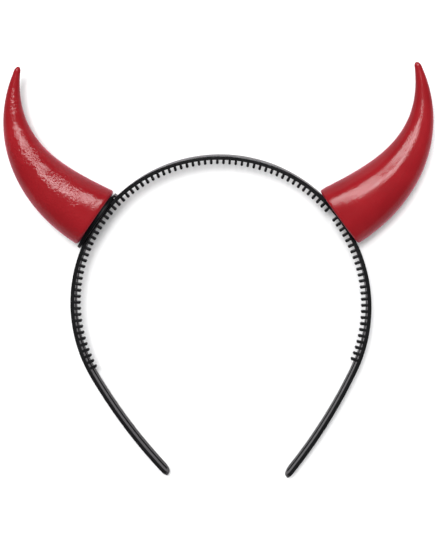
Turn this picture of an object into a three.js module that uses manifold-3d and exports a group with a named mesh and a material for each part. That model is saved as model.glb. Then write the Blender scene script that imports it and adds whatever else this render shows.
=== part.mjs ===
// Costume horns: two hollow red horns seated on a toothed black headband, lying as they rest on a table.
// Millimetres. Seen from above, +X is to the right and +Y runs from the arms' tips to the horns; +Z is up.
import * as THREE from "three";
import { mergeVertices } from "three/addons/utils/BufferGeometryUtils.js";
import Module from "manifold-3d";

// Headband: a springy strip, edge-on to the table
const BAND_WIDTH = 9;
const BAND_THICKNESS = 1.7;
const BAND_EDGE = 0.3;
const BAND_STEP = 2.9;
// An arm's round end laps into the strip and is a touch slimmer, so that their faces stay apart
const ARM_END_LAP = 0.4;
const ARM_END_SLIM = 0.03;
// Half of the band's outer face, from its top to an arm's tip: a crown, a side and an arm, in arcs that run
// smoothly into each other. Both arms have set over to the right, so spread and lean add to an arc's radius
// and turn on the right and take as much off on the left
const BAND_ARCS = [
  { radius: 64.5, spread: 0, turn: 45, lean: 0 },
  { radius: 66.85, spread: 0.85, turn: 71.2, lean: -1.8 },
  { radius: 240, spread: 0, turn: 13.85, lean: 0.2 },
];

// Comb teeth: pegs moulded along the front edge of the band's inner face; one has broken off. They are
// shortest at the top of the crown and grow with the distance from it
const TOOTH_PLACES = 94;
const TOOTH_MISSING = 68;
const TOOTH_ROOT = 1.15;
const TOOTH_TIP = 0.95;
const TOOTH_LENGTH = { shortest: 1.83, growth: 0.0085 };
const TOOTH_DEPTH = 2;
const TOOTH_SETBACK = 0.6;
const TOOTH_SINK = 0.4;
const TOOTH_QUALITY = 2;
const COMB_START = -131.2;
const COMB_END = 128.3;
// The teeth stand a little closer together over the crown than along the sides
const COMB_SWAY = { swing: 1.2, wave: 264 };

// Horns: each outline is two curves from the mouth to the blunt tip, drawn for the right horn with the
// crown's centre as origin, and the sections between them are ovals
const HORN_OUTER_EDGE = [
  { x: 61.4, y: 26.9 },
  { x: 85.6, y: 42.7 },
  { x: 99.0, y: 71.4 },
  { x: 85.9, y: 100.0 },
];
const HORN_INNER_EDGE = [
  { x: 45.0, y: 49.6 },
  { x: 65.9, y: 60.1 },
  { x: 86.6, y: 70.8 },
  { x: 82.8, y: 100.0 },
];
const HORN_WALL = 1;
// Length of the blunt tip beyond the end of the curves
const HORN_CAP = { left: 3, right: 2.2 };
const HORN_LIP = { inset: 0.8, rise: 0.012 };
// How far each mouth is cut below the start of the curves; the right horn's mouth hides its base's flange
const HORN_SKIRT = { left: 0.3, right: 1.9 };
// Millimetres of horn in one unit of its curves, at the mouth
const MOUTH_RATE = 78;
const HORN_SIDES = 24;
const HORN_ROWS = 16;
const HORN_CAP_ROWS = 3;
const HOLLOW_END = 0.86;
// Depth of a section over its width: flatter at the mouth, round from a third of the length on
const DEPTH_AT_MOUTH = 0.85;
const DEPTH_AT_TIP = 1;
const ROUND_FROM = 0.35;

// Horn bases: a flange under the horn's mouth, a spigot inside it and two lugs that straddle the band
const GAP = 0.3;
const FLANGE = { depth: 20.6, thickness: 1.4, edge: 0.3, drop: 0.3 };
// The left flange is longer: its lower end stands out below the horn
const FLANGE_SPAN = { left: { length: 27.1, shift: 1.35 }, right: { length: 24.8, shift: 0.2 } };
const SPIGOT = { length: 22.8, depth: 19.4, height: 2.6, wall: 1.5, floor: 0.9 };
const LUG = { length: 3.2, reach: 8.7, grip: 1.2, rise: 0.9, cheek: 1 };
const OVAL_QUALITY = 18;

// A nub on the band's outer face stops the left base from sliding up the crown
const NUB = { root: 1.1, top: 0.5, height: 1.3, sink: 0.4, depth: 5, clear: 0.5 };

const FINISH = {
  horn: { color: 0xa2222c, roughness: 0.22, metalness: 0 },
  band: { color: 0x0c0c0e, roughness: 0.25, metalness: 0 },
  base: { color: 0x111114, roughness: 0.35, metalness: 0 },
};

// Fineness of the working: points closer than this are one, and the rest angle is found by halving
const MERGE_DISTANCE = 1e-4;
const STEEPEST_REST = 15;
const HALVINGS = 40;

const wasm = await Module();
wasm.setup();

const radians = THREE.MathUtils.degToRad;
const UP = new THREE.Vector3(0, 0, 1);

// Closed geometry as a solid that can be joined and cut
function solidOf(geometry) {
  const bare = geometry.clone();
  bare.deleteAttribute("normal");
  bare.deleteAttribute("uv");
  const merged = mergeVertices(bare, MERGE_DISTANCE);
  const corners = merged.index.array;
  const kept = [];
  for (let i = 0; i < corners.length; i += 3) {
    const [a, b, c] = corners.slice(i, i + 3);
    if (a !== b && b !== c && c !== a) kept.push(a, b, c);
  }
  const vertProperties = new Float32Array(merged.attributes.position.array);
  return new wasm.Manifold(new wasm.Mesh({ numProp: 3, vertProperties, triVerts: new Uint32Array(kept) }));
}

function geometryOf(solid) {
  const mesh = solid.getMesh();
  const geometry = new THREE.BufferGeometry();
  geometry.setAttribute("position", new THREE.BufferAttribute(new Float32Array(mesh.vertProperties), 3));
  geometry.setIndex(new THREE.BufferAttribute(new Uint32Array(mesh.triVerts), 1));
  geometry.computeVertexNormals();
  return geometry;
}

// A straight prism of a flat shape, from z = low to z = high, with its rims chamfered by edge
function prism(shape, low, high, edge = 0, curveSegments = 8) {
  const geometry = new THREE.ExtrudeGeometry(shape, {
    depth: high - low - 2 * edge,
    bevelEnabled: edge > 0,
    bevelThickness: edge,
    bevelSize: edge,
    bevelOffset: -edge,
    bevelSegments: 1,
    curveSegments,
  });
  return geometry.translate(0, 0, low + edge);
}

function oval(length, depth, centre = 0) {
  return new THREE.Shape().absellipse(centre, 0, length / 2, depth / 2, 0, 2 * Math.PI);
}

const asCurve = (points) => new THREE.CubicBezierCurve(...points.map(({ x, y }) => new THREE.Vector2(x, y)));
const outerEdge = asCurve(HORN_OUTER_EDGE);
const innerEdge = asCurve(HORN_INNER_EDGE);

// Where the right horn's mouth stands: its middle, its outward direction and the place on the band below it
const seat = (() => {
  const middle = outerEdge.getPoint(0).add(innerEdge.getPoint(0)).multiplyScalar(0.5);
  const chord = outerEdge.getPoint(0).sub(innerEdge.getPoint(0)).normalize();
  const angle = Math.atan2(middle.x, middle.y);
  const [crown, side] = BAND_ARCS;
  const distance = crown.radius * radians(crown.turn) + side.radius * (angle - radians(crown.turn));
  return { middle, outward: new THREE.Vector2(-chord.y, chord.x), distance };
})();

// The band's arcs on one side, as the arms' set has left them
function setArcs(side) {
  return BAND_ARCS.map(({ radius, spread, turn, lean }) => ({
    radius: radius + side * spread,
    turn: radians(turn + side * lean),
  }));
}

function bandLength(side) {
  return setArcs(side).reduce((sum, { radius, turn }) => sum + radius * turn, 0);
}

// Point and outward direction on the band's outer face, at a distance from its top: right is positive
function onBand(distance) {
  const side = distance < 0 ? -1 : 1;
  const centre = new THREE.Vector2();
  const outward = new THREE.Vector2(0, 1);
  let left = Math.abs(distance);
  let turned = 0;
  const arcs = setArcs(side);
  for (const [i, { radius, turn }] of arcs.entries()) {
    const next = arcs[i + 1];
    const ends = next === undefined || left <= radius * turn;
    turned += ends ? left / radius : turn;
    outward.set(Math.sin(turned), Math.cos(turned));
    if (ends) {
      centre.addScaledVector(outward, radius);
      break;
    }
    centre.addScaledVector(outward, radius - next.radius);
    left -= radius * turn;
  }
  return {
    point: new THREE.Vector2(side * centre.x, centre.y),
    outward: new THREE.Vector2(side * outward.x, outward.y),
  };
}

// Frame at a place on the band's outer face: x along the band, y outwards, z across the band
function bandFrame(distance) {
  const { point, outward } = onBand(distance);
  const y = new THREE.Vector3(outward.x, outward.y, 0);
  const x = y.clone().cross(UP);
  return new THREE.Matrix4().makeBasis(x, y, UP).setPosition(point.x, point.y, 0);
}

// Outline of the strip between two distances, grown by a clearance on both faces
function stripOutline(from, to, grow = 0) {
  const steps = Math.ceil((to - from) / BAND_STEP);
  const outer = [];
  const inner = [];
  for (let i = 0; i <= steps; i += 1) {
    const { point, outward } = onBand(THREE.MathUtils.lerp(from, to, i / steps));
    outer.push(point.clone().addScaledVector(outward, grow));
    inner.push(point.clone().addScaledVector(outward, -BAND_THICKNESS - grow));
  }
  return new THREE.Shape([...inner, ...outer.reverse()]);
}

// Round end of an arm: half a disc
function armEnd(side) {
  const radius = BAND_WIDTH / 2 - ARM_END_SLIM;
  const half = new THREE.Shape();
  half.moveTo(-ARM_END_LAP, -radius);
  half.absarc(0, 0, radius, -Math.PI / 2, Math.PI / 2);
  half.lineTo(-ARM_END_LAP, radius);
  const { point, outward } = onBand(side * (bandLength(side) - BAND_WIDTH / 2));
  const z = new THREE.Vector3(outward.x, outward.y, 0);
  const x = new THREE.Vector3(outward.y, -outward.x, 0).multiplyScalar(side);
  const y = z.clone().cross(x);
  const place = new THREE.Matrix4().makeBasis(x, y, z).setPosition(point.x, point.y, 0);
  return prism(half, ARM_END_SLIM - BAND_THICKNESS, -ARM_END_SLIM, BAND_EDGE).applyMatrix4(place);
}

// One comb tooth: a tapered bar with a round tip, rooted in the strip
function tooth(distance) {
  const bar = new THREE.Shape();
  const root = -BAND_THICKNESS + TOOTH_SINK;
  const length = TOOTH_LENGTH.shortest + TOOTH_LENGTH.growth * Math.abs(distance);
  const shoulder = -BAND_THICKNESS - length + TOOTH_TIP / 2;
  bar.moveTo(TOOTH_ROOT / 2, root);
  bar.lineTo(-TOOTH_ROOT / 2, root);
  bar.lineTo(-TOOTH_TIP / 2, shoulder);
  bar.absarc(0, shoulder, TOOTH_TIP / 2, Math.PI, 2 * Math.PI);
  const front = BAND_WIDTH / 2 - TOOTH_SETBACK;
  return prism(bar, front - TOOTH_DEPTH, front, 0, TOOTH_QUALITY).applyMatrix4(bandFrame(distance));
}

// Stop nub beside the left base's upper end
function nub() {
  const bar = new THREE.Shape();
  bar.moveTo(-NUB.root / 2, -NUB.sink);
  bar.lineTo(NUB.root / 2, -NUB.sink);
  bar.lineTo(NUB.top / 2, NUB.height);
  bar.lineTo(-NUB.top / 2, NUB.height);
  const upperEnd = FLANGE_SPAN.left.length / 2 - FLANGE_SPAN.left.shift;
  const distance = seat.distance - upperEnd - NUB.clear - NUB.root / 2;
  return prism(bar, -NUB.depth / 2, NUB.depth / 2).applyMatrix4(bandFrame(-distance));
}

function makeHeadband() {
  const ends = BAND_WIDTH / 2;
  const strip = stripOutline(ends - bandLength(-1), bandLength(1) - ends);
  const pieces = [armEnd(-1), armEnd(1), nub()];
  for (let i = 0; i < TOOTH_PLACES; i += 1) {
    const even = THREE.MathUtils.lerp(COMB_START, COMB_END, i / (TOOTH_PLACES - 1));
    const sway = COMB_SWAY.swing * Math.sin((2 * Math.PI * even) / COMB_SWAY.wave);
    if (i !== TOOTH_MISSING) pieces.push(tooth(even - sway));
  }
  const band = solidOf(prism(strip, -BAND_WIDTH / 2, BAND_WIDTH / 2, BAND_EDGE));
  return geometryOf(pieces.reduce((solid, piece) => solid.add(solidOf(piece)), band));
}

// Section of the horn at t: 0 where its curves start, 1 where the tip's cap begins, below 0 in the skirt
function hornSection(t, cap = 0) {
  const along = THREE.MathUtils.clamp(t, 0, 1);
  const outer = outerEdge.getPoint(along);
  const inner = innerEdge.getPoint(along);
  const centre = outer.clone().add(inner).multiplyScalar(0.5);
  const across = outer.clone().sub(inner);
  const halfWidth = across.length() / 2;
  if (t < 0) centre.addScaledVector(seat.outward, t * MOUTH_RATE);
  if (t > 1) {
    const ahead = outerEdge.getTangent(1).add(innerEdge.getTangent(1)).normalize();
    centre.addScaledVector(ahead, (t - 1) * cap);
  }
  const rounding = Math.sin((Math.min(along / ROUND_FROM, 1) * Math.PI) / 2);
  const depthRatio = THREE.MathUtils.lerp(DEPTH_AT_MOUTH, DEPTH_AT_TIP, rounding);
  return { centre, across: across.normalize(), halfWidth, halfDepth: halfWidth * depthRatio };
}

// Profile of the shell, turned round an upright axis: x is a part of the section's half width, y is t
function hornProfile(skirt) {
  const inside = (t) => 1 - HORN_WALL / hornSection(t).halfWidth;
  const lip = 1 - HORN_LIP.inset / hornSection(0).halfWidth;
  const mouth = -skirt / MOUTH_RATE;
  const profile = [new THREE.Vector2(0, HOLLOW_END)];
  for (let i = HORN_ROWS - 1; i > 0; i -= 1) {
    const t = (HOLLOW_END * i) / HORN_ROWS;
    profile.push(new THREE.Vector2(inside(t), t));
  }
  profile.push(new THREE.Vector2(inside(0), mouth));
  profile.push(new THREE.Vector2(lip, mouth), new THREE.Vector2(1, mouth + HORN_LIP.rise));
  for (let i = 1; i <= HORN_ROWS; i += 1) {
    profile.push(new THREE.Vector2(1, i / HORN_ROWS));
  }
  for (let i = 1; i <= HORN_CAP_ROWS; i += 1) {
    const swing = (i / HORN_CAP_ROWS) * (Math.PI / 2);
    const radius = i === HORN_CAP_ROWS ? 0 : Math.cos(swing);
    profile.push(new THREE.Vector2(radius, 1 + Math.sin(swing)));
  }
  return profile;
}

// The turned shell, bent so that each of its rows lies in the horn's section there
function makeHorn(hand) {
  const turned = new THREE.LatheGeometry(hornProfile(HORN_SKIRT[hand]), HORN_SIDES);
  const place = turned.attributes.position;
  for (let i = 0; i < place.count; i += 1) {
    const { centre, across, halfWidth, halfDepth } = hornSection(place.getY(i), HORN_CAP[hand]);
    const point = centre.addScaledVector(across, halfWidth * place.getX(i));
    place.setXYZ(i, point.x, point.y, halfDepth * place.getZ(i));
  }
  return geometryOf(solidOf(turned));
}

// Base of a horn, drawn on the right: z runs outwards from the mouth's plane, x up the crown
function makeBase(hand) {
  const { length, shift } = FLANGE_SPAN[hand];
  const z = new THREE.Vector3(seat.outward.x, seat.outward.y, 0);
  const x = UP.clone().cross(z);
  const place = new THREE.Matrix4().makeBasis(x, UP, z).setPosition(seat.middle.x, seat.middle.y, 0);
  const onSeat = (geometry) => solidOf(geometry.applyMatrix4(place));
  const top = -GAP - FLANGE.drop;
  const rim = oval(length, FLANGE.depth, -shift);
  const flange = prism(rim, top - FLANGE.thickness, top, FLANGE.edge, OVAL_QUALITY);
  const spigot = prism(oval(SPIGOT.length, SPIGOT.depth), top - FLANGE.edge, SPIGOT.height, 0, OVAL_QUALITY);
  const bore = oval(SPIGOT.length - 2 * SPIGOT.wall, SPIGOT.depth - 2 * SPIGOT.wall);
  const hollow = prism(bore, SPIGOT.floor, 2 * SPIGOT.height, 0, OVAL_QUALITY);
  const clearance = stripOutline(seat.distance - length, seat.distance + length, GAP);
  const channel = prism(clearance, -BAND_WIDTH / 2 - GAP, BAND_WIDTH / 2 + GAP);
  const lugWidth = BAND_WIDTH + 2 * (GAP + LUG.cheek);
  let base = onSeat(flange).add(onSeat(spigot)).subtract(onSeat(hollow));
  for (const end of [-1, 1]) {
    const block = new THREE.BoxGeometry(LUG.length, LUG.grip + LUG.rise, lugWidth);
    block.translate(0, (LUG.rise - LUG.grip) / 2, 0);
    block.applyMatrix4(bandFrame(seat.distance + end * LUG.reach));
    base = base.add(solidOf(block));
  }
  return geometryOf(base.subtract(solidOf(channel)));
}

function makeMesh(name, geometry, finish, side = 1) {
  const mesh = new THREE.Mesh(geometry, new THREE.MeshStandardMaterial(finish));
  mesh.name = name;
  mesh.scale.x = side;
  return mesh;
}

// Lowest height of a geometry once it is tipped about X
function lowest(geometry, tilt) {
  const place = geometry.attributes.position;
  let low = Infinity;
  for (let i = 0; i < place.count; i += 1) {
    low = Math.min(low, place.getY(i) * Math.sin(tilt) + place.getZ(i) * Math.cos(tilt));
  }
  return low;
}

// Angle at which the arms' tips and the horns touch the table together, found by halving
function restTilt(band, others) {
  let flat = 0;
  let steep = radians(STEEPEST_REST);
  for (let i = 0; i < HALVINGS; i += 1) {
    const tilt = (flat + steep) / 2;
    const hornsTouch = Math.min(...others.map((piece) => lowest(piece, tilt))) < lowest(band, tilt);
    if (hornsTouch) flat = tilt;
    else steep = tilt;
  }
  return flat;
}

const headband = makeHeadband();
const horns = { left: makeHorn("left"), right: makeHorn("right") };
const bases = { left: makeBase("left"), right: makeBase("right") };

const lying = new THREE.Group();
lying.rotation.x = restTilt(headband, [...Object.values(horns), ...Object.values(bases)]);
lying.add(makeMesh("headband", headband, FINISH.band));
for (const [hand, side] of [["left", -1], ["right", 1]]) {
  lying.add(makeMesh(`horn_${hand}`, horns[hand], FINISH.horn, side));
  lying.add(makeMesh(`horn_base_${hand}`, bases[hand], FINISH.base, side));
}

// The origin is the middle of the footprint, at table height
lying.updateMatrixWorld(true);
const box = new THREE.Box3().setFromObject(lying, true);
const middle = box.getCenter(new THREE.Vector3());
lying.position.set(-middle.x, -middle.y, -box.min.z);

const costumeHorns = new THREE.Group();
costumeHorns.add(lying);

export default costumeHorns;
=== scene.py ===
"""Dresses the costume horns: two glossy red horns on a toothed black headband, lying on a pale table.

Lengths are in metres. Each piece is drawn in the loop's own plane, with x to the right, y from the arms
to the horns and z towards the viewer, and is then tipped onto the table as the loop rests there.
"""
import logging
import math
from collections.abc import Callable, Iterable
from dataclasses import dataclass, replace
from enum import Enum

import bmesh
import bpy
from bmesh.types import BMEdge, BMesh, BMFace, BMVert
from mathutils import Matrix, Vector


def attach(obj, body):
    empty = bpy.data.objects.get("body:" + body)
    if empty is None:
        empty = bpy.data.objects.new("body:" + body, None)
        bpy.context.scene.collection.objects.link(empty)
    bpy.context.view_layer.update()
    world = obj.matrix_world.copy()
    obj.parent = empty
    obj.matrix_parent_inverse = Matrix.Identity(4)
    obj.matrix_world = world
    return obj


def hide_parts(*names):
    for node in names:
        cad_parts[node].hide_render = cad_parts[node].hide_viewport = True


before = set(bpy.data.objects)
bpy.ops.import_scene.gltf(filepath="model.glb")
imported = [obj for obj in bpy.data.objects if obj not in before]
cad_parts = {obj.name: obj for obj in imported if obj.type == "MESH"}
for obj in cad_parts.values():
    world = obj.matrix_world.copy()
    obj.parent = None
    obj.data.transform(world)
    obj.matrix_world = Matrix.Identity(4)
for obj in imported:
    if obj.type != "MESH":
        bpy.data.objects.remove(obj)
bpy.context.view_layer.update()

MM = 0.001
ALONG = Vector((1.0, 0.0, 0.0))
UP = Vector((0.0, 0.0, 1.0))
BODY = "root"
log = logging.getLogger("costume_horns")

# How the loop lies: it tips about x until the arms' tips and the horns touch the table
REST_TILT = math.radians(3.767)
REST_SHIFT = Vector((0.0, -11.354, 9.506)) * MM
ON_TABLE = Matrix.Translation(REST_SHIFT) @ Matrix.Rotation(REST_TILT, 4, "X")

# Edges that fold by less than this are shaded as one round surface
SMOOTH_ANGLE = math.radians(40)
# Faces that meet at more than this are taken for the two sides of a rim
RIM_ANGLE = math.radians(60)
# A face that turns away from an axis by less than this is taken to face along it
FACING = 0.9
# Places closer than this are taken to be level
LEVEL = 0.01 * MM
# Share of a ring's size at which a loft closes to a point
POINTED = 0.01
# Points closer to a cut than this are taken to lie on it
CUT_MARGIN = 1e-7
# Span of a noise's values that a pattern uses
NOISE_SPAN = (0.35, 0.65)
# How many patches of gloss and of crinkles lie along one patch of colour
GLOSS_PATCHES = 3
FOLD_PATCHES = 2
# The sheen that reddens the edges of the horns
SHEEN_ROUGHNESS = 0.35
SHEEN_TINT = (0.85, 0.1, 0.2, 1.0)
RIGHT_ANGLE = math.pi / 2

Colour = tuple[float, float, float]


class Slot(Enum):
    """Names of the material slots: the black band, the red horn and the black base."""

    BAND = "black_band"
    HORN = "red_horn"
    BASE = "black_base"


class Side(Enum):
    """The loop as it lies in front of the viewer: its left half and its right half."""

    LEFT = -1
    RIGHT = 1

    @property
    def word(self) -> str:
        """Name of the side as it stands in the nodes' names."""
        return self.name.lower()


@dataclass(frozen=True)
class Arc:
    """One stretch of the band's outer face.

    Args:
        radius: Radius of the outer face, midway between the two sides.
        turn: Angle that the stretch turns through, midway between the two sides, in degrees.
        spread: What the right side adds to the radius and the left side takes off.
        lean: What the right side adds to the turn and the left side takes off, in degrees.
    """

    radius: float
    turn: float
    spread: float = 0.0
    lean: float = 0.0

    def on(self, side: Side) -> tuple[float, float]:
        """Radius and turn of the stretch on one side, the turn in radians."""
        return self.radius + side.value * self.spread, math.radians(self.turn + side.value * self.lean)


@dataclass(frozen=True)
class BandLine:
    """The line that the band's outer face follows, measured from the top of the crown.

    Args:
        arcs: Stretches of one half, from the crown's top to an arm's tip.
    """

    arcs: tuple[Arc, ...] = (
        Arc(64.5 * MM, 45.0),
        Arc(66.85 * MM, 71.2, spread=0.85 * MM, lean=-1.8),
        Arc(240.0 * MM, 13.85, lean=0.2),
    )

    def length(self, side: Side) -> float:
        """Length of one half of the band, along its outer face."""
        return sum(math.prod(arc.on(side)) for arc in self.arcs)

    def locate(self, distance: float) -> tuple[Vector, Vector]:
        """Finds a place on the outer face.

        Args:
            distance: Distance from the crown's top, positive to the right.

        Returns:
            The point and the outward direction there.
        """
        side = Side.LEFT if distance < 0 else Side.RIGHT
        left = abs(distance)
        turned = 0.0
        centre = Vector()
        outward = Vector((0.0, 1.0, 0.0))
        before = self.arcs[0].radius
        for arc in self.arcs:
            radius, turn = arc.on(side)
            centre += outward * (before - radius)
            before = radius
            last = arc is self.arcs[-1] or left <= radius * turn
            turned += left / radius if last else turn
            outward = Vector((math.sin(turned), math.cos(turned), 0.0))
            if last:
                break
            left -= radius * turn
        point = centre + outward * before
        mirrored = Vector((side.value, 1.0, 1.0))
        return point * mirrored, outward * mirrored

    def place(self, distance: float) -> Matrix:
        """Finds the frame at a place on the outer face.

        Args:
            distance: Distance from the crown's top, positive to the right.

        Returns:
            The frame, with x along the band, y outwards and z across the band.
        """
        point, outward = self.locate(distance)
        along = outward.cross(UP)
        return Matrix.Translation(point) @ Matrix((along, outward, UP)).transposed().to_4x4()

    def bend(self, bm: BMesh) -> None:
        """Lays a straight bar along the line.

        Args:
            bm: Mesh of the bar, where x is distance, y is outwards and z is across the band.
        """
        for vert in bm.verts:
            point, outward = self.locate(vert.co.x)
            vert.co = point + outward * vert.co.y + UP * vert.co.z


BAND_LINE = BandLine()


def verts_of(geometry: Iterable) -> list[BMVert]:
    """Vertices among the parts of a mesh that an operator returned."""
    return [part for part in geometry if isinstance(part, BMVert)]


def faces_of(geometry: Iterable) -> list[BMFace]:
    """Faces among the parts of a mesh that an operator returned."""
    return [part for part in geometry if isinstance(part, BMFace)]


def edges_of(faces: Iterable[BMFace]) -> set[BMEdge]:
    """All the edges round some faces."""
    return {edge for face in faces for edge in face.edges}


def cut(bm: BMesh, faces: Iterable[BMFace], axis: Vector, height: float) -> None:
    """Cuts faces along a plane that stands across an axis.

    Args:
        bm: Mesh that holds the faces.
        faces: Faces to cut.
        axis: Unit direction across the plane.
        height: Place of the plane along the axis.
    """
    faces = list(faces)
    verts = {vert for face in faces for vert in face.verts}
    geometry = [*verts, *edges_of(faces), *faces]
    bmesh.ops.bisect_plane(bm, geom=geometry, dist=CUT_MARGIN, plane_co=axis * height, plane_no=axis)


def grow(bm: BMesh, faces: list[BMFace]) -> tuple[list[BMFace], list[BMVert]]:
    """Grows faces out of a mesh and leaves no face behind inside it.

    Args:
        bm: Mesh that holds the faces.
        faces: Faces to grow. One that stands alone stays as the far side of the new solid.

    Returns:
        The grown faces and their vertices, still in the place that they grew from.
    """
    alone = all(edge.is_boundary for edge in edges_of(faces))
    grown = bmesh.ops.extrude_face_region(bm, geom=faces)["geom"]
    if not alone:
        bmesh.ops.delete(bm, geom=faces, context="FACES")
    return faces_of(grown), verts_of(grown)


def round_edges(bm: BMesh, edges: Iterable[BMEdge], radius: float, segments: int) -> None:
    """Rounds edges of a mesh over to an arc.

    Args:
        bm: Mesh that holds the edges.
        edges: Edges to round.
        radius: Radius of the arc.
        segments: Number of flats in the arc.
    """
    bmesh.ops.bevel(
        bm,
        geom=list(edges),
        offset=radius,
        offset_type="OFFSET",
        affect="EDGES",
        segments=segments,
        profile=0.5,
        material=-1,
        clamp_overlap=True,
    )


def loft(bm: BMesh, rings: list[Matrix], sides: int) -> None:
    """Draws a skin through a row of rings and closes it to a point at both ends.

    Args:
        bm: Mesh to draw in.
        rings: Frames that take the unit circle to each ring, in order.
        sides: Number of sides of each ring.
    """
    first = bmesh.ops.create_circle(bm, segments=sides, radius=1.0, matrix=rings[0])["verts"]
    ring = first
    place = rings[0]
    for target in rings[1:]:
        inside = set(ring)
        edges = {edge for vert in ring for edge in vert.link_edges if set(edge.verts) <= inside}
        ring = verts_of(bmesh.ops.extrude_edge_only(bm, edges=list(edges))["geom"])
        bmesh.ops.transform(bm, matrix=target @ place.inverted(), verts=ring)
        place = target
    for end, centre in ((first, rings[0].translation), (ring, rings[-1].translation)):
        bmesh.ops.pointmerge(bm, verts=end, merge_co=centre)
    bmesh.ops.recalc_face_normals(bm, faces=bm.faces)


def mesh_object(bm: BMesh, name: str) -> bpy.types.Object:
    """Turns a mesh drawn in the loop's plane into an object that lies on the table.

    Args:
        bm: Mesh to turn into an object. It is freed.
        name: Name of the object.

    Returns:
        The object.
    """
    bm.transform(ON_TABLE)
    mesh = bpy.data.meshes.new(name)
    bm.to_mesh(mesh)
    bm.free()
    piece = bpy.data.objects.new(name, mesh)
    bpy.context.scene.collection.objects.link(piece)
    return piece


def shade(piece: bpy.types.Object) -> None:
    """Shades round surfaces smooth and keeps the true edges and flat faces crisp.

    Args:
        piece: Piece to shade.
    """
    piece.data.shade_smooth()
    piece.data.set_sharp_from_angle(angle=SMOOTH_ANGLE)
    weights = piece.modifiers.new("flat_faces_first", "WEIGHTED_NORMAL")
    weights.keep_sharp = True


def combine(piece: bpy.types.Object, tool: bpy.types.Object, operation: str) -> None:
    """Joins or cuts a piece with a tool and throws the tool away.

    Args:
        piece: Piece whose mesh changes.
        tool: Closed mesh that is joined to it or cut out of it.
        operation: Name of the boolean operation.
    """
    step = piece.modifiers.new("combine", "BOOLEAN")
    step.operation = operation
    step.solver = "EXACT"
    step.object = tool
    seen = piece.evaluated_get(bpy.context.evaluated_depsgraph_get())
    result = bpy.data.meshes.new_from_object(seen)
    piece.modifiers.remove(step)
    spent = piece.data
    piece.data = result
    bpy.data.meshes.remove(spent)
    result.name = piece.name
    waste = tool.data
    bpy.data.objects.remove(tool)
    bpy.data.meshes.remove(waste)


@dataclass(frozen=True)
class MouldedPlastic:
    """Finish of a moulded plastic piece.

    Args:
        name: Name of the material.
        colour: Base colour, linear.
        shade: Darker tone that the colour drifts to.
        drift: Size of the patches of colour.
        roughness: Lowest and highest roughness.
        gloss: Strength of the mirror reflection, 0.5 for plain plastic.
        sheen: Strength of the red sheen at the piece's edges.
        grain: Size of the fine grain on the surface.
        grain_depth: Depth of the fine grain.
        crinkle: Size of the skin's crinkles.
        crinkle_depth: Depth of the crinkles where they are strongest.
    """

    name: str
    colour: Colour
    shade: Colour
    drift: float
    roughness: tuple[float, float]
    gloss: float
    sheen: float
    grain: float
    grain_depth: float
    crinkle: float
    crinkle_depth: float

    def material(self) -> bpy.types.Material:
        """Builds the finish.

        Returns:
            A material whose patterns are fixed to the piece.
        """
        material = bpy.data.materials.new(self.name)
        material.use_nodes = True
        tree = material.node_tree
        shader = tree.nodes["Principled BSDF"]
        shader.inputs["Specular IOR Level"].default_value = self.gloss
        shader.inputs["Sheen Weight"].default_value = self.sheen
        shader.inputs["Sheen Roughness"].default_value = SHEEN_ROUGHNESS
        shader.inputs["Sheen Tint"].default_value = SHEEN_TINT
        place = tree.nodes.new("ShaderNodeTexCoord").outputs["Object"]

        def noise(size: float, detail: float) -> bpy.types.NodeSocket:
            """Adds a noise that is fixed to the piece.

            Args:
                size: Size of its patches.
                detail: Number of finer layers in it.

            Returns:
                The socket that holds the noise, from 0 to 1.
            """
            node = tree.nodes.new("ShaderNodeTexNoise")
            node.inputs["Scale"].default_value = 1.0 / size
            node.inputs["Detail"].default_value = detail
            tree.links.new(place, node.inputs["Vector"])
            return node.outputs["Fac"]

        def spread(value: bpy.types.NodeSocket, low: float, high: float) -> bpy.types.NodeSocket:
            """Spreads the middle of a noise over a range.

            Args:
                value: Socket that holds the noise.
                low: Start of the range.
                high: End of the range.

            Returns:
                The socket that holds the result.
            """
            node = tree.nodes.new("ShaderNodeMapRange")
            node.inputs["From Min"].default_value = NOISE_SPAN[0]
            node.inputs["From Max"].default_value = NOISE_SPAN[1]
            node.inputs["To Min"].default_value = low
            node.inputs["To Max"].default_value = high
            tree.links.new(value, node.inputs["Value"])
            return node.outputs["Result"]

        tones = tree.nodes.new("ShaderNodeMix")
        tones.data_type = "RGBA"
        tones.inputs["A"].default_value = (*self.shade, 1.0)
        tones.inputs["B"].default_value = (*self.colour, 1.0)
        tree.links.new(spread(noise(self.drift, 2.0), 0.0, 1.0), tones.inputs["Factor"])
        tree.links.new(tones.outputs["Result"], shader.inputs["Base Color"])
        rough = spread(noise(self.drift / GLOSS_PATCHES, 3.0), *self.roughness)
        tree.links.new(rough, shader.inputs["Roughness"])

        folds = tree.nodes.new("ShaderNodeMath")
        folds.operation = "MULTIPLY"
        tree.links.new(noise(self.crinkle, 2.0), folds.inputs[0])
        tree.links.new(spread(noise(self.drift / FOLD_PATCHES, 1.0), 0.0, 1.0), folds.inputs[1])
        skin = None
        layers = (
            (noise(self.grain, 1.0), self.grain_depth),
            (folds.outputs["Value"], self.crinkle_depth),
        )
        for height, depth in layers:
            bump = tree.nodes.new("ShaderNodeBump")
            bump.inputs["Distance"].default_value = depth
            tree.links.new(height, bump.inputs["Height"])
            if skin is not None:
                tree.links.new(skin, bump.inputs["Normal"])
            skin = bump.outputs["Normal"]
        tree.links.new(skin, shader.inputs["Normal"])
        return material


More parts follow.
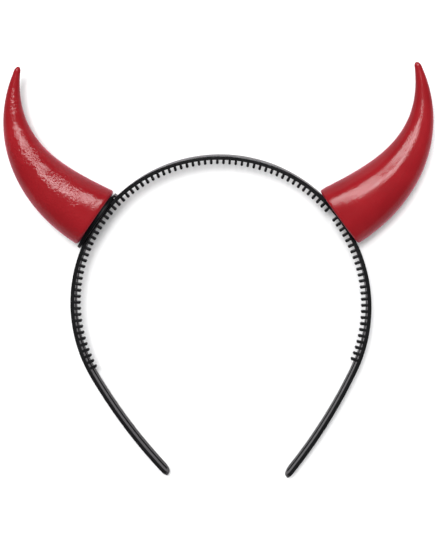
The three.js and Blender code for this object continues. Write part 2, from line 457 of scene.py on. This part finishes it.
SMOOTH_RED = MouldedPlastic(
    name="smooth_red",
    colour=(0.25, 0.0097, 0.0139),
    shade=(0.215, 0.0075, 0.011),
    drift=18 * MM,
    roughness=(0.13, 0.19),
    gloss=0.22,
    sheen=0.5,
    grain=0.5 * MM,
    grain_depth=0.018 * MM,
    crinkle=1.2 * MM,
    crinkle_depth=0.12 * MM,
)
CRINKLED_RED = replace(SMOOTH_RED, name="crinkled_red", grain_depth=0.035 * MM, crinkle_depth=0.4 * MM)
BLACK_GLOSS = MouldedPlastic(
    name="black_gloss",
    colour=(0.007, 0.007, 0.0077),
    shade=(0.005, 0.005, 0.0055),
    drift=9 * MM,
    roughness=(0.16, 0.26),
    gloss=0.5,
    sheen=0.0,
    grain=0.4 * MM,
    grain_depth=0.003 * MM,
    crinkle=2.0 * MM,
    crinkle_depth=0.02 * MM,
)
BLACK_SATIN = MouldedPlastic(
    name="black_satin",
    colour=(0.0032, 0.0032, 0.0035),
    shade=(0.002, 0.002, 0.0023),
    drift=6 * MM,
    roughness=(0.3, 0.42),
    gloss=0.06,
    sheen=0.0,
    grain=0.3 * MM,
    grain_depth=0.005 * MM,
    crinkle=1.5 * MM,
    crinkle_depth=0.02 * MM,
)


def dress(piece: bpy.types.Object, node: str, material: bpy.types.Material) -> None:
    """Gives a piece its finish and sets it in the place of its plain solid.

    Args:
        piece: Finished piece.
        node: Name of the solid that it stands for.
        material: Finish of the piece.
    """
    shade(piece)
    piece.data.materials.clear()
    piece.data.materials.append(material)
    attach(piece, BODY)
    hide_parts(node)
    log.info("%s: %d faces, stands for %s", piece.name, len(piece.data.polygons), node)


@dataclass(frozen=True)
class Block:
    """A tapered block that stands on a face of the band.

    Args:
        root: Its length along the band, at its foot.
        top: Its length along the band, at its top.
        height: How far it stands out.
        back: Where it begins across the band.
        front: Where it ends across the band.
        growth: How much further it stands out for each metre from the crown's top.
    """

    root: float
    top: float
    height: float
    back: float
    front: float
    growth: float = 0.0


@dataclass
class Headband:
    """The springy strip with its comb of teeth, its stop nub and the groove along its inside.

    It is drawn as a straight bar, with x along the band from the crown's top, y outwards from the outer
    face and z across the band, and is bent into the loop at the end.
    """

    width: float = 9.0 * MM
    thickness: float = 1.7 * MM
    edge_radius: float = 0.3 * MM
    edge_segments: int = 4
    tip_segments: int = 24
    arm_step: float = 3.0 * MM
    tooth: Block = Block(
        root=1.0 * MM, top=1.25 * MM, height=1.83 * MM, back=1.9 * MM, front=3.9 * MM, growth=0.0085
    )
    tooth_places: int = 94
    tooth_missing: int = 68
    tooth_edge: float = 0.14 * MM
    tooth_edge_segments: int = 2
    tip_rounding: float = 0.47
    tip_rounding_segments: int = 4
    comb_start: float = -131.2 * MM
    comb_end: float = 128.3 * MM
    comb_swing: float = 1.2 * MM
    comb_wave: float = 264.0 * MM
    nub: Block = Block(root=1.1 * MM, top=0.5 * MM, height=1.3 * MM, back=-2.5 * MM, front=2.5 * MM)
    nub_place: float = -48.2 * MM
    tip_slope: float = 0.6 * MM
    groove_width: float = 2.2 * MM
    groove_depth: float = 0.6 * MM
    groove_stop: float = 2.6 * MM

    @property
    def pitch(self) -> float:
        """Distance from one tooth to the next."""
        return (self.comb_end - self.comb_start) / (self.tooth_places - 1)

    def tooth_centres(self) -> list[float]:
        """Finds the teeth that are still there.

        Returns:
            Their places along the band, a little closer together over the crown.
        """
        kept = (i for i in range(self.tooth_places) if i != self.tooth_missing)
        even = [self.comb_start + i * self.pitch for i in kept]
        return [place - self.comb_swing * math.sin(math.tau * place / self.comb_wave) for place in even]

    def blank(self) -> BMesh:
        """Draws the bare strip: a bar with round ends and rounded rims.

        Returns:
            The mesh of the bar.
        """
        bm = bmesh.new()
        half = self.width / 2
        for side in Side:
            end = ALONG * side.value * (BAND_LINE.length(side) - half)
            start = bm.verts.new(end - UP * half * side.value)
            bmesh.ops.spin(
                bm, geom=[start], cent=end, axis=(0, -1, 0), angle=math.pi, steps=self.tip_segments
            )
        loose = [vert for vert in bm.verts if len(vert.link_edges) == 1]
        for across in (-1, 1):
            bm.edges.new([vert for vert in loose if vert.co.z * across > 0])
        bmesh.ops.contextual_create(bm, geom=bm.edges[:])
        inner = grow(bm, bm.faces[:])[1]
        bmesh.ops.translate(bm, vec=(0.0, -self.thickness, 0.0), verts=inner)
        self.slope_tips(inner)
        bmesh.ops.recalc_face_normals(bm, faces=bm.faces)
        rims = [edge for edge in bm.edges if edge.calc_face_angle(0.0) > RIM_ANGLE]
        round_edges(bm, rims, self.edge_radius, self.edge_segments)
        return bm

    def slope_tips(self, inner: list[BMVert]) -> None:
        """Draws in the inner face at the arms' tips, so that the tips slope.

        Args:
            inner: Vertices of the bar's inner face.
        """
        half = self.width / 2
        for vert in inner:
            side = Side.LEFT if vert.co.x < 0 else Side.RIGHT
            start = side.value * (BAND_LINE.length(side) - half)
            share = max((vert.co.x - start) * side.value, 0.0) / half
            shrink = 1 - share * share * self.tip_slope / half
            vert.co.x = start + (vert.co.x - start) * shrink if share else vert.co.x
            vert.co.z *= shrink

    def cut_stations(self, bm: BMesh) -> None:
        """Cuts the bar across, so that it can bend and so that the blocks have their footprints.

        Args:
            bm: Mesh of the bar.
        """
        stations = []
        for centre in self.tooth_centres():
            half = self.tooth.root / 2
            stations += [centre - half, centre + half, centre + self.pitch / 2]
        for side, comb in ((Side.LEFT, -self.comb_start), (Side.RIGHT, self.comb_end)):
            start = comb + self.pitch
            stop = BAND_LINE.length(side) - self.width / 4
            steps = round((stop - start) / self.arm_step)
            stations += [side.value * (start + (stop - start) * i / steps) for i in range(steps + 1)]
        for station in sorted(stations):
            cut(bm, bm.faces[:], ALONG, station)
        for end in (-1, 1):
            outer = [face for face in bm.faces if abs(face.calc_center_median().y) < LEVEL]
            cut(bm, outer, ALONG, self.nub_place + end * self.nub.root / 2)

    def raise_blocks(self, bm: BMesh, block: Block, centres: list[float], outward: int) -> list[BMFace]:
        """Raises tapered blocks on one face of the bar.

        Args:
            bm: Mesh of the bar.
            block: Size of each block.
            centres: Places of the blocks along the bar.
            outward: 1 for the outer face and -1 for the inner face.

        Returns:
            The blocks' top faces.
        """
        level = 0.0 if outward > 0 else -self.thickness

        def nearest(along: float) -> float:
            """The block's place that is nearest to a place along the bar."""
            return min(centres, key=lambda centre: abs(centre - along))

        def in_reach(face: BMFace) -> bool:
            """Whether a face lies on that side of the bar and in line with a block."""
            middle = face.calc_center_median()
            return abs(middle.y - level) < LEVEL and abs(middle.x - nearest(middle.x)) < block.root / 2

        def under(face: BMFace) -> bool:
            """Whether a face is a block's footprint."""
            return in_reach(face) and block.back < face.calc_center_median().z < block.front

        for across in (block.back, block.front):
            cut(bm, filter(in_reach, bm.faces[:]), UP, across)
        feet = list(filter(under, bm.faces))
        tops, verts = grow(bm, feet)
        bmesh.ops.translate(bm, vec=(0.0, outward * block.height, 0.0), verts=verts)
        for vert in verts:
            centre = nearest(vert.co.x)
            vert.co.x = centre + (vert.co.x - centre) * block.top / block.root
            vert.co.y += outward * block.growth * abs(centre)
        return tops

    def grow_teeth(self, bm: BMesh) -> None:
        """Raises the comb on the inner face, with round tips and softened ends.

        Args:
            bm: Mesh of the bar.
        """
        tops = self.raise_blocks(bm, self.tooth, self.tooth_centres(), -1)

        def runs_across(edge: BMEdge) -> bool:
            """Whether an edge runs across the band."""
            return abs(edge.verts[0].co.z - edge.verts[1].co.z) > self.tooth.root

        rounding = self.tooth.top * self.tip_rounding
        round_edges(bm, filter(runs_across, edges_of(tops)), rounding, self.tip_rounding_segments)
        floor = -self.thickness - LEVEL
        ends = [
            face
            for face in bm.faces
            if abs(face.normal.z) > FACING and face.calc_center_median().y < floor
        ]
        outline = [edge for edge in edges_of(ends) if min(vert.co.y for vert in edge.verts) < floor]
        round_edges(bm, outline, self.tooth_edge, self.tooth_edge_segments)

    def grow_nub(self, bm: BMesh) -> None:
        """Raises the stop nub beside the left base on the outer face."""
        tops = self.raise_blocks(bm, self.nub, [self.nub_place], 1)
        round_edges(bm, edges_of(tops), self.tooth_edge, self.tooth_edge_segments)

    def sink_groove(self, bm: BMesh) -> None:
        """Sinks a shallow groove along the middle of the inner face.

        Args:
            bm: Mesh of the bar.
        """
        half = self.groove_width / 2

        def inside(face: BMFace) -> bool:
            """Whether a face lies on the inner face, where the groove runs."""
            middle = face.calc_center_median()
            side = Side.LEFT if middle.x < 0 else Side.RIGHT
            flat = face.normal.y < -FACING and abs(middle.y + self.thickness) < LEVEL
            return flat and abs(middle.x) < BAND_LINE.length(side) - self.groove_stop

        for across in (-half, half):
            cut(bm, filter(inside, bm.faces[:]), UP, across)
        strip = [face for face in bm.faces if inside(face) and abs(face.calc_center_median().z) < half]
        bmesh.ops.inset_region(
            bm,
            faces=strip,
            thickness=self.groove_depth,
            depth=-self.groove_depth,
            use_even_offset=True,
            use_boundary=True,
        )

    def build(self) -> bpy.types.Object:
        """Makes the whole headband as one moulding.

        Returns:
            The headband.
        """
        bm = self.blank()
        self.cut_stations(bm)
        self.grow_teeth(bm)
        self.grow_nub(bm)
        self.sink_groove(bm)
        BAND_LINE.bend(bm)
        return mesh_object(bm, "toothed_headband")


@dataclass(frozen=True)
class Edge:
    """A cubic curve along one edge of the right horn, in the loop's plane, in millimetres.

    Args:
        points: Its start, two handles and end, from the mouth to the tip.
    """

    points: tuple[tuple[float, float], tuple[float, float], tuple[float, float], tuple[float, float]]

    def point(self, t: float) -> Vector:
        """Point on the curve, at t from 0 to 1."""
        weights = ((1 - t) ** 3, 3 * t * (1 - t) ** 2, 3 * t * t * (1 - t), t**3)
        x, y = (sum(weight * place for weight, place in zip(weights, row)) for row in zip(*self.points))
        return Vector((x, y, 0.0)) * MM

    def end_direction(self) -> Vector:
        """Direction in which the curve ends."""
        handle, end = (Vector((*place, 0.0)) for place in self.points[2:])
        return (end - handle).normalized()


@dataclass
class Horn:
    """A hollow horn: a shell whose sections are ovals between two curved edges, with a blunt tip.

    Args:
        side: Side of the loop that it stands on.
        skirt: How far its mouth is cut below the start of its edges.
        lip_radius: Rounding of its mouth's rim.
        cap: Length of its blunt tip beyond the end of its edges.
    """

    side: Side
    skirt: float
    lip_radius: float
    cap: float
    outer_edge: Edge = Edge(((61.4, 26.9), (85.6, 42.7), (99.0, 71.4), (85.9, 100.0)))
    inner_edge: Edge = Edge(((45.0, 49.6), (65.9, 60.1), (86.6, 70.8), (82.8, 100.0)))
    mouth_rate: float = 78.0 * MM
    wall: float = 1.0 * MM
    hollow_end: float = 0.86
    depth_at_mouth: float = 0.85
    depth_at_tip: float = 1.0
    round_from: float = 0.35
    sides: int = 64
    rows: int = 72
    cap_rows: int = 8
    lip_rows: int = 6
    hollow_rows: int = 24

    def section(self, t: float, radius: float = 1.0) -> Matrix:
        """Frame that takes the unit circle to a section of the horn.

        Args:
            t: Place along the horn: 0 where its edges start, 1 where the tip's cap begins and 2 at its end.
            radius: Share of the section's full width.

        Returns:
            The section's frame, with x from the inner edge to the outer edge and y towards the viewer.
        """
        along = min(t, 1.0)
        outer = self.outer_edge.point(along)
        inner = self.inner_edge.point(along)
        across = (outer - inner) / 2
        ahead = (self.outer_edge.end_direction() + self.inner_edge.end_direction()).normalized()
        centre = (outer + inner) / 2 + ahead * max(t - 1.0, 0.0) * self.cap
        rounding = math.sin(min(along / self.round_from, 1.0) * RIGHT_ANGLE)
        depth = self.depth_at_mouth + (self.depth_at_tip - self.depth_at_mouth) * rounding
        columns = (across * radius, UP * across.length * depth * radius, UP.cross(across).normalized() * MM)
        return Matrix.Translation(centre) @ Matrix(columns).transposed().to_4x4()

    def half_width(self, t: float) -> float:
        """Half of the horn's width at a place along it."""
        return self.section(t).col[0].length

    def seat(self) -> Matrix:
        """Finds where the right horn's edges start.

        Returns:
            The frame there, with x up the crown, y towards the viewer and z outwards along the horn.
        """
        outer = self.outer_edge.point(0.0)
        inner = self.inner_edge.point(0.0)
        crownward = (inner - outer).normalized()
        turn = Matrix((crownward, UP, crownward.cross(UP))).transposed().to_4x4()
        return Matrix.Translation((outer + inner) / 2) @ turn

    def near_mouth(self, height: float, inset: float) -> Matrix:
        """Frame of a ring near the mouth.

        Args:
            height: Its height over the start of the edges, below 0 in the skirt.
            inset: How far it lies inside the horn's outline.

        Returns:
            The ring's frame.
        """
        ring = self.section(max(height, 0.0) / self.mouth_rate, 1 - inset / self.half_width(0.0))
        return Matrix.Translation(self.seat().col[2].to_3d() * min(height, 0.0)) @ ring

    def rings(self) -> list[Matrix]:
        """Works out the rings that the shell's skin runs through.

        Returns:
            The rings' frames, from the end of the hollow out over the lip and on to the tip.
        """
        rings = [self.section(self.hollow_end, POINTED)]
        for i in reversed(range(self.hollow_rows)):
            t = self.hollow_end * i / self.hollow_rows
            rings.append(self.section(t, 1 - self.wall / self.half_width(t)))
        rings.append(self.near_mouth(self.lip_radius - self.skirt, self.wall))
        for i in range(self.lip_rows + 1):
            swing = i / self.lip_rows * RIGHT_ANGLE
            rise = self.lip_radius * (1 - math.cos(swing))
            inset = self.lip_radius * (1 - math.sin(swing))
            rings.append(self.near_mouth(rise - self.skirt, inset))
        start = max(self.lip_radius - self.skirt, 0.0) / self.mouth_rate
        rings += [self.section(start + (1 - start) * i / self.rows) for i in range(1, self.rows + 1)]
        for i in range(1, self.cap_rows):
            swing = i / self.cap_rows * RIGHT_ANGLE
            rings.append(self.section(1 + math.sin(swing), math.cos(swing)))
        rings.append(self.section(2.0, POINTED))
        return rings

    def build(self) -> bpy.types.Object:
        """Makes the shell.

        Returns:
            The horn.
        """
        bm = bmesh.new()
        loft(bm, self.rings(), self.sides)
        bmesh.ops.scale(bm, vec=(self.side.value, 1.0, 1.0), verts=bm.verts)
        bmesh.ops.recalc_face_normals(bm, faces=bm.faces)
        return mesh_object(bm, f"red_horn_{self.side.word}")


@dataclass
class HornBase:
    """The black moulding under a horn: a flange, a spigot inside the horn and two lugs on the band.

    Args:
        horn: Horn that stands on it.
        band: Band that it straddles.
        flange_length: Length of its flange along the mouth.
        flange_shift: How far the flange's middle lies below the mouth's middle.
    """

    horn: Horn
    band: Headband
    flange_length: float
    flange_shift: float
    gap: float = 0.3 * MM
    flange_depth: float = 20.6 * MM
    flange_thickness: float = 1.4 * MM
    flange_edge: float = 0.35 * MM
    flange_drop: float = 0.3 * MM
    spigot_length: float = 22.8 * MM
    spigot_depth: float = 19.4 * MM
    spigot_height: float = 2.6 * MM
    spigot_wall: float = 1.5 * MM
    spigot_floor: float = 0.9 * MM
    lug_length: float = 3.2 * MM
    lug_reach: float = 8.7 * MM
    lug_grip: float = 1.2 * MM
    lug_rise: float = 0.9 * MM
    lug_cheek: float = 1.0 * MM
    lug_edge: float = 0.2 * MM
    edge_segments: int = 3
    rim_share: float = 0.49
    sides: int = 72
    channel_steps: int = 24

    def seat_distance(self) -> float:
        """Finds the middle of the horn's mouth along the band.

        Returns:
            Its distance from the crown's top.
        """
        middle = self.horn.seat().translation
        crown, flank = BAND_LINE.arcs[:2]
        bend = math.radians(crown.turn)
        return crown.radius * bend + flank.radius * (math.atan2(middle.x, middle.y) - bend)

    def plate(self) -> BMesh:
        """Draws the flange and the spigot on it, one step after another from the same oval.

        Returns:
            The mesh of the plate.
        """
        bm = bmesh.new()
        top = -self.gap - self.flange_drop
        start = (-self.flange_shift, 0.0, top - self.flange_thickness)
        bmesh.ops.create_circle(bm, cap_ends=True, segments=self.sides, radius=0.5)
        bmesh.ops.scale(bm, vec=(self.flange_length, self.flange_depth, 1.0), verts=bm.verts)
        bmesh.ops.translate(bm, vec=start, verts=bm.verts)
        flange = (self.flange_length, self.flange_depth)
        spigot = (self.spigot_length, self.spigot_depth)
        bore = (self.spigot_length - 2 * self.spigot_wall, self.spigot_depth - 2 * self.spigot_wall)
        steps = (
            (flange, flange, 0.0, self.flange_thickness),
            (flange, spigot, self.flange_shift, 0.0),
            (spigot, spigot, 0.0, self.spigot_height - top),
            (spigot, bore, 0.0, 0.0),
            (bore, bore, 0.0, self.spigot_floor - self.spigot_height),
        )
        middle = -self.flange_shift
        front = bm.faces[:]
        for before, after, shift, lift in steps:
            front, verts = grow(bm, front)
            stretch = (after[0] / before[0], after[1] / before[1], 1.0)
            bmesh.ops.scale(bm, vec=stretch, verts=verts, space=Matrix.Translation((-middle, 0.0, 0.0)))
            bmesh.ops.translate(bm, vec=(shift, 0.0, lift), verts=verts)
            middle += shift
        bmesh.ops.recalc_face_normals(bm, faces=bm.faces)
        round_edges(bm, filter(self.on_rim, bm.edges[:]), self.flange_edge, self.edge_segments)
        bm.transform(self.horn.seat())
        return bm

    def on_rim(self, edge: BMEdge) -> bool:
        """Tells the flange's outer rim from the plate's other edges.

        Args:
            edge: Edge of the plate.

        Returns:
            Whether it lies on the rim, above or below.
        """
        first, second = (vert.co for vert in edge.verts)
        across = (first.x + self.flange_shift) / self.flange_length
        outside = math.hypot(across, first.y / self.flange_depth) > self.rim_share
        return outside and abs(first.z - second.z) < LEVEL and edge.calc_face_angle(0.0) > RIM_ANGLE

    def lugs(self) -> BMesh:
        """Draws the two blocks that straddle the band.

        Returns:
            The mesh of the blocks.
        """
        bm = bmesh.new()
        across = self.band.width + 2 * (self.gap + self.lug_cheek)
        middle = Matrix.Translation((0.0, (self.lug_rise - self.lug_grip) / 2, 0.0))
        size = Matrix.Diagonal((self.lug_length, self.lug_grip + self.lug_rise, across, 1.0))
        for end in (-1, 1):
            place = BAND_LINE.place(self.seat_distance() + end * self.lug_reach)
            bmesh.ops.create_cube(bm, size=1.0, matrix=place @ middle @ size)
        round_edges(bm, bm.edges[:], self.lug_edge, self.edge_segments)
        return bm

    def channel(self) -> BMesh:
        """Draws the clearance that the band runs through.

        Returns:
            The mesh of the clearance.
        """
        bm = bmesh.new()
        height = self.band.thickness + 2 * self.gap
        across = self.band.width + 2 * self.gap
        size = Matrix.Diagonal((2 * self.flange_length, height, across, 1.0))
        middle = Matrix.Translation((self.seat_distance(), -self.band.thickness / 2, 0.0))
        bmesh.ops.create_cube(bm, size=1.0, matrix=middle @ size)
        for i in range(1, self.channel_steps):
            station = self.seat_distance() + self.flange_length * (2 * i / self.channel_steps - 1)
            cut(bm, bm.faces[:], ALONG, station)
        BAND_LINE.bend(bm)
        return bm

    def build(self) -> bpy.types.Object:
        """Makes the base: the plate and lugs joined, with the band's channel cut out.

        Returns:
            The base.
        """
        side = self.horn.side

        def made(draw: Callable[[], BMesh], name: str) -> bpy.types.Object:
            """Draws a part of the base and sets it on the horn's side.

            Args:
                draw: Method that draws the part on the right.
                name: Name of the part, without its side.

            Returns:
                The part.
            """
            bm = draw()
            bmesh.ops.scale(bm, vec=(side.value, 1.0, 1.0), verts=bm.verts)
            bmesh.ops.recalc_face_normals(bm, faces=bm.faces)
            return mesh_object(bm, f"{name}_{side.word}")

        base = made(self.plate, "black_base")
        combine(base, made(self.lugs, "lugs"), "UNION")
        combine(base, made(self.channel, "channel"), "DIFFERENCE")
        return base


def path_mix(tree: bpy.types.NodeTree, path: str, plain: Colour, seen: Colour) -> bpy.types.NodeSocket:
    """Adds a colour that differs by the kind of ray that meets it.

    Args:
        tree: Node tree to add to.
        path: Kind of ray, as the light path names it.
        plain: Colour for all other rays.
        seen: Colour for that kind of ray.

    Returns:
        The socket that holds the colour.
    """
    tones = tree.nodes.new("ShaderNodeMix")
    tones.data_type = "RGBA"
    tones.inputs["A"].default_value = (*plain, 1.0)
    tones.inputs["B"].default_value = (*seen, 1.0)
    rays = tree.nodes.new("ShaderNodeLightPath")
    tree.links.new(rays.outputs[path], tones.inputs["Factor"])
    return tones.outputs["Result"]


class Reach(Enum):
    """What a lamp reaches: mirror reflections alone, or all but those."""

    REFLECTIONS = "reflections"
    SURFACES = "surfaces"


@dataclass(frozen=True)
class Lamp:
    """A rectangular lamp that faces the object.

    Args:
        name: Name of the lamp.
        lean: Its lean from straight above, towards +x and towards +y, in degrees.
        distance: Its distance from the object.
        size: Its width and height.
        power: Its power in watts.
        reach: What it reaches.
        roll: Turn about its own axis, in degrees.
    """

    name: str
    lean: tuple[float, float]
    distance: float
    size: tuple[float, float]
    power: float
    reach: Reach
    roll: float = 0.0

    def build(self) -> None:
        """Sets the lamp up."""
        data = bpy.data.lights.new(self.name, "AREA")
        data.shape = "RECTANGLE"
        data.size, data.size_y = self.size
        data.energy = self.power
        lamp = bpy.data.objects.new(self.name, data)
        rightward, upward = (math.tan(math.radians(angle)) for angle in self.lean)
        back = Vector((rightward, upward, 1.0)).normalized()
        right = (ALONG - back * ALONG.dot(back)).normalized()
        turn = Matrix((right, back.cross(right), back)).transposed().to_4x4()
        roll = Matrix.Rotation(math.radians(self.roll), 4, "Z")
        lamp.matrix_world = Matrix.Translation(back * self.distance) @ turn @ roll
        lamp.visible_camera = False
        lamp.visible_diffuse = self.reach is Reach.SURFACES
        lamp.visible_glossy = self.reach is Reach.REFLECTIONS
        bpy.context.scene.collection.objects.link(lamp)


@dataclass
class Studio:
    """The pale table, the soft lights and the camera."""

    floor_size: float = 2.4
    floor_colour: Colour = (0.86, 0.86, 0.865)
    floor_mirrored: Colour = (0.39, 0.375, 0.39)
    floor_roughness: float = 0.9
    camera_place: tuple[float, float, float] = (14.54 * MM, 61.42 * MM, 484.82 * MM)
    camera_target: tuple[float, float, float] = (-0.85 * MM, 3.99 * MM, 10.5 * MM)
    camera_roll: float = 0.818
    camera_lens: float = 73.88
    room: Colour = (0.09, 0.09, 0.09)
    backdrop: Colour = (0.9, 0.9, 0.9)
    lamps: tuple[Lamp, ...] = (
        Lamp("softbox_left", (-18.8, 41.2), 0.66, (0.17, 0.48), 4.3, Reach.REFLECTIONS, roll=32.0),
        Lamp("softbox_right", (17.5, 42.0), 0.64, (0.18, 0.46), 4.2, Reach.REFLECTIONS, roll=-34.0),
        Lamp("shadow_lamp", (-4.0, 15.0), 0.9, (0.20, 0.20), 6.2, Reach.SURFACES),
        Lamp("fill_panel", (0.0, 20.0), 1.2, (2.4, 2.4), 26.0, Reach.SURFACES),
    )

    def floor(self) -> None:
        """Lays the table."""
        bm = bmesh.new()
        bmesh.ops.create_grid(bm, x_segments=1, y_segments=1, size=self.floor_size / 2)
        mesh = bpy.data.meshes.new("table")
        bm.to_mesh(mesh)
        bm.free()
        table = bpy.data.objects.new("table", mesh)
        bpy.context.scene.collection.objects.link(table)
        material = bpy.data.materials.new("pale_table")
        material.use_nodes = True
        tree = material.node_tree
        shader = tree.nodes["Principled BSDF"]
        tones = path_mix(tree, "Is Glossy Ray", self.floor_colour, self.floor_mirrored)
        tree.links.new(tones, shader.inputs["Base Color"])
        shader.inputs["Roughness"].default_value = self.floor_roughness
        shader.inputs["Specular IOR Level"].default_value = 0.0
        mesh.materials.append(material)

    def world(self) -> None:
        """Surrounds the object with a dim room, and the picture with a pale backdrop."""
        world = bpy.data.worlds.new("dim_room")
        world.use_nodes = True
        tree = world.node_tree
        tones = path_mix(tree, "Is Camera Ray", self.room, self.backdrop)
        tree.links.new(tones, tree.nodes["Background"].inputs["Color"])
        bpy.context.scene.world = world

    def camera(self) -> None:
        """Sets up the camera almost straight above the loop."""
        data = bpy.data.cameras.new("camera")
        data.lens = self.camera_lens
        camera = bpy.data.objects.new("camera", data)
        place = Vector(self.camera_place)
        back = (place - Vector(self.camera_target)).normalized()
        roll = math.radians(self.camera_roll)
        right = Vector((math.sin(roll), math.cos(roll), 0.0)).cross(back).normalized()
        turn = Matrix((right, back.cross(right), back)).transposed().to_4x4()
        camera.matrix_world = Matrix.Translation(place) @ turn
        bpy.context.scene.collection.objects.link(camera)
        bpy.context.scene.camera = camera

    def build(self) -> None:
        """Sets up the whole studio."""
        self.camera()
        self.floor()
        self.world()
        for lamp in self.lamps:
            lamp.build()
        bpy.context.scene.view_settings.view_transform = "Standard"


def main() -> None:
    """Builds the studio and every piece in order, and dresses each one."""
    logging.basicConfig(level=logging.INFO, format="%(name)s: %(message)s")
    Studio().build()
    band = Headband()
    dress(band.build(), "headband", BLACK_GLOSS.material())
    satin = BLACK_SATIN.material()
    left = Horn(Side.LEFT, skirt=0.3 * MM, lip_radius=1.4 * MM, cap=3.0 * MM)
    right = Horn(Side.RIGHT, skirt=1.9 * MM, lip_radius=0.95 * MM, cap=2.2 * MM)
    bases = (
        (HornBase(left, band, flange_length=27.1 * MM, flange_shift=1.35 * MM), CRINKLED_RED),
        (HornBase(right, band, flange_length=24.8 * MM, flange_shift=0.2 * MM), SMOOTH_RED),
    )
    for base, finish in bases:
        side = base.horn.side.word
        dress(base.horn.build(), f"horn_{side}", finish.material())
        dress(base.build(), f"horn_base_{side}", satin)


if __name__ == "__main__":
    main()
